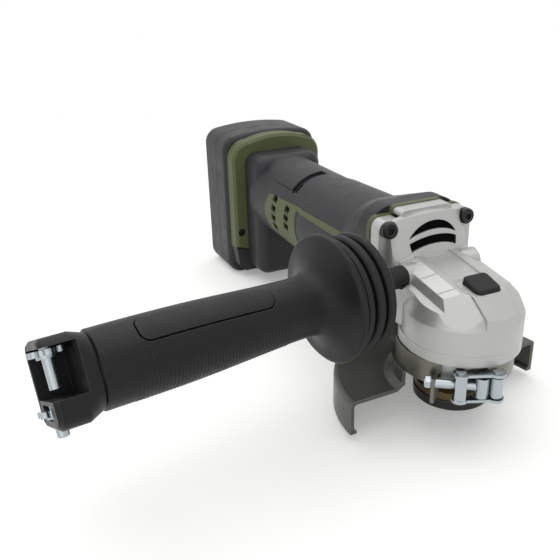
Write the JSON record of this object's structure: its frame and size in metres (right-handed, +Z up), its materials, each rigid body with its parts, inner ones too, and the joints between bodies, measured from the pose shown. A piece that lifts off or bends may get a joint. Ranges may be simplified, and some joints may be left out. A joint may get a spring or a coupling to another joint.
{
  "type": "cordless angle grinder",
  "caption": "Cordless angle grinder with cast gear head, swivelling wheel guard, side handle with split end block, slide switch and slide-on battery pack.",
  "frame": {"origin": "on the spindle axis, at the face of the inner flange where the wheel seats", "axes": "+Z up along the spindle away from the wheel, +Y along the motor towards the battery, the side handle points to -X"},
  "size_m": [0.265, 0.3064, 0.1085],
  "materials": {
    "cast_aluminium": "satin cast and lightly machined",
    "black_nylon": "moulded, fine spark texture",
    "olive_nylon": "moulded, fine texture",
    "black_rubber": "matte soft rubber",
    "zinc_steel": "bright zinc plated",
    "dark_steel": "grey powder coat",
    "black_steel": "black oxide",
    "yellow_zinc": "yellow chromate",
    "bright_steel": "ground steel",
    "bronze": "machined",
    "copper": "enamelled wire",
    "ferrite": "sintered",
    "carbon": "pressed carbon",
    "cell_sleeve": "shrink sleeve",
    "circuit_board": "coated laminate"
  },
  "bodies": {
    "tool_body": {"gear_case": "cast_aluminium", "bearing_cover": "cast_aluminium", "cover_screws": "black_steel", "flange_screws": "black_steel", "spindle_bush": "bronze", "spindle_bearing_outer": "bright_steel", "motor_bearing_outers": "bright_steel", "bearing_ball_sets": "bright_steel", "baffle_ring": "olive_nylon", "motor_housing": "black_nylon", "side_panel_left": "olive_nylon", "side_panel_right": "olive_nylon", "motor_can": "bright_steel", "magnets": "ferrite", "brush_holders": "bronze", "brushes": "carbon", "switch_unit": "black_nylon", "control_board": "circuit_board", "terminal_block": "black_nylon", "dock_shoulder": "black_nylon", "dock_foot": "black_nylon", "dock_frame": "olive_nylon", "dock_screws": "black_steel", "lock_spring": "bright_steel"},
    "spindle_set": {"spindle": "bright_steel", "bevel_gear": "bright_steel", "spindle_bearing_inner": "bright_steel", "inner_flange": "yellow_zinc", "lock_nut": "black_steel"},
    "motor_rotor": {"motor_shaft": "bright_steel", "pinion": "bright_steel", "motor_bearing_inners": "bright_steel", "fan": "black_nylon", "armature_core": "bright_steel", "windings": "copper", "commutator": "bronze"},
    "lock_plunger": {"lock_button": "black_rubber", "lock_pin": "bright_steel"},
    "switch_slide": {"switch_slider": "black_nylon", "switch_link": "black_nylon"},
    "guard": {"guard_shell": "dark_steel", "guard_band": "dark_steel", "clamp_trunnion": "zinc_steel", "clamp_bolt": "zinc_steel"},
    "clamp_arm": {"clamp_lever": "zinc_steel", "clamp_rivets": "zinc_steel"},
    "side_handle": {"handle_stud": "bright_steel", "handle_damper": "black_rubber", "handle_grip": "black_nylon", "grip_panel": "black_nylon", "end_block": "black_nylon", "end_studs": "zinc_steel"},
    "upper_nut": {"star_nut_upper": "zinc_steel"},
    "lower_nut": {"star_nut_lower": "zinc_steel"},
    "battery": {"battery_case_front": "black_nylon", "battery_case_rear": "black_nylon", "battery_cells": "cell_sleeve", "battery_contacts": "bronze", "battery_screws": "black_steel"},
    "battery_button": {"battery_release": "black_nylon"}
  },
  "joints": [
    {"name": "motor_spin", "type": "hinge", "parent": "tool_body", "child": "motor_rotor", "pos_m": [0, 0.1, 0.0505], "axis": [0, 1, 0], "continuous": true},
    {"name": "spindle_spin", "type": "hinge", "parent": "tool_body", "child": "spindle_set", "pos_m": [0, 0, 0], "axis": [0, 0, 1], "continuous": true},
    {"name": "lock_press", "type": "slide", "parent": "tool_body", "child": "lock_plunger", "axis": [0, 0, -1], "range_m": [0, 0.003], "stiffness_N_per_m": 400, "springref_m": -0.004, "deforming": ["lock_spring"]},
    {"name": "switch_travel", "type": "slide", "parent": "tool_body", "child": "switch_slide", "axis": [0, -1, 0], "range_m": [0, 0.006]},
    {"name": "guard_swivel", "type": "hinge", "parent": "tool_body", "child": "guard", "pos_m": [0, 0, 0.02], "axis": [0, 0, 1], "range_deg": [-70, 100]},
    {"name": "clamp_swing", "type": "hinge", "parent": "guard", "child": "clamp_arm", "pos_m": [-0.00314, -0.03586, 0.018], "axis": [0, 0, 1], "range_deg": [0, 75]},
    {"name": "handle_turn", "type": "hinge", "parent": "tool_body", "child": "side_handle", "pos_m": [0, 0.019, 0.059], "axis": [-0.9921, -0.1253, 0], "continuous": true},
    {"name": "upper_nut_turn", "type": "hinge", "parent": "side_handle", "child": "upper_nut", "pos_m": [-0.19593, -0.00026, 0.06969], "axis": [0.0569, -0.4504, -0.891], "continuous": true},
    {"name": "lower_nut_turn", "type": "hinge", "parent": "side_handle", "child": "lower_nut", "pos_m": [-0.19643, -0.01067, 0.04956], "axis": [0.0569, -0.4504, -0.891], "continuous": true},
    {"name": "battery_slide", "type": "slide", "parent": "tool_body", "child": "battery", "axis": [0, 0, -1], "range_m": [0, 0.08]},
    {"name": "release_press", "type": "slide", "parent": "battery", "child": "battery_button", "axis": [-1, 0, 0], "range_m": [0, 0.0015], "stiffness_N_per_m": 400, "springref_m": -0.003}
  ],
  "couplings": [
    {"joint": "spindle_spin", "follows": "motor_spin", "ratio": 0.33333}
  ]
}
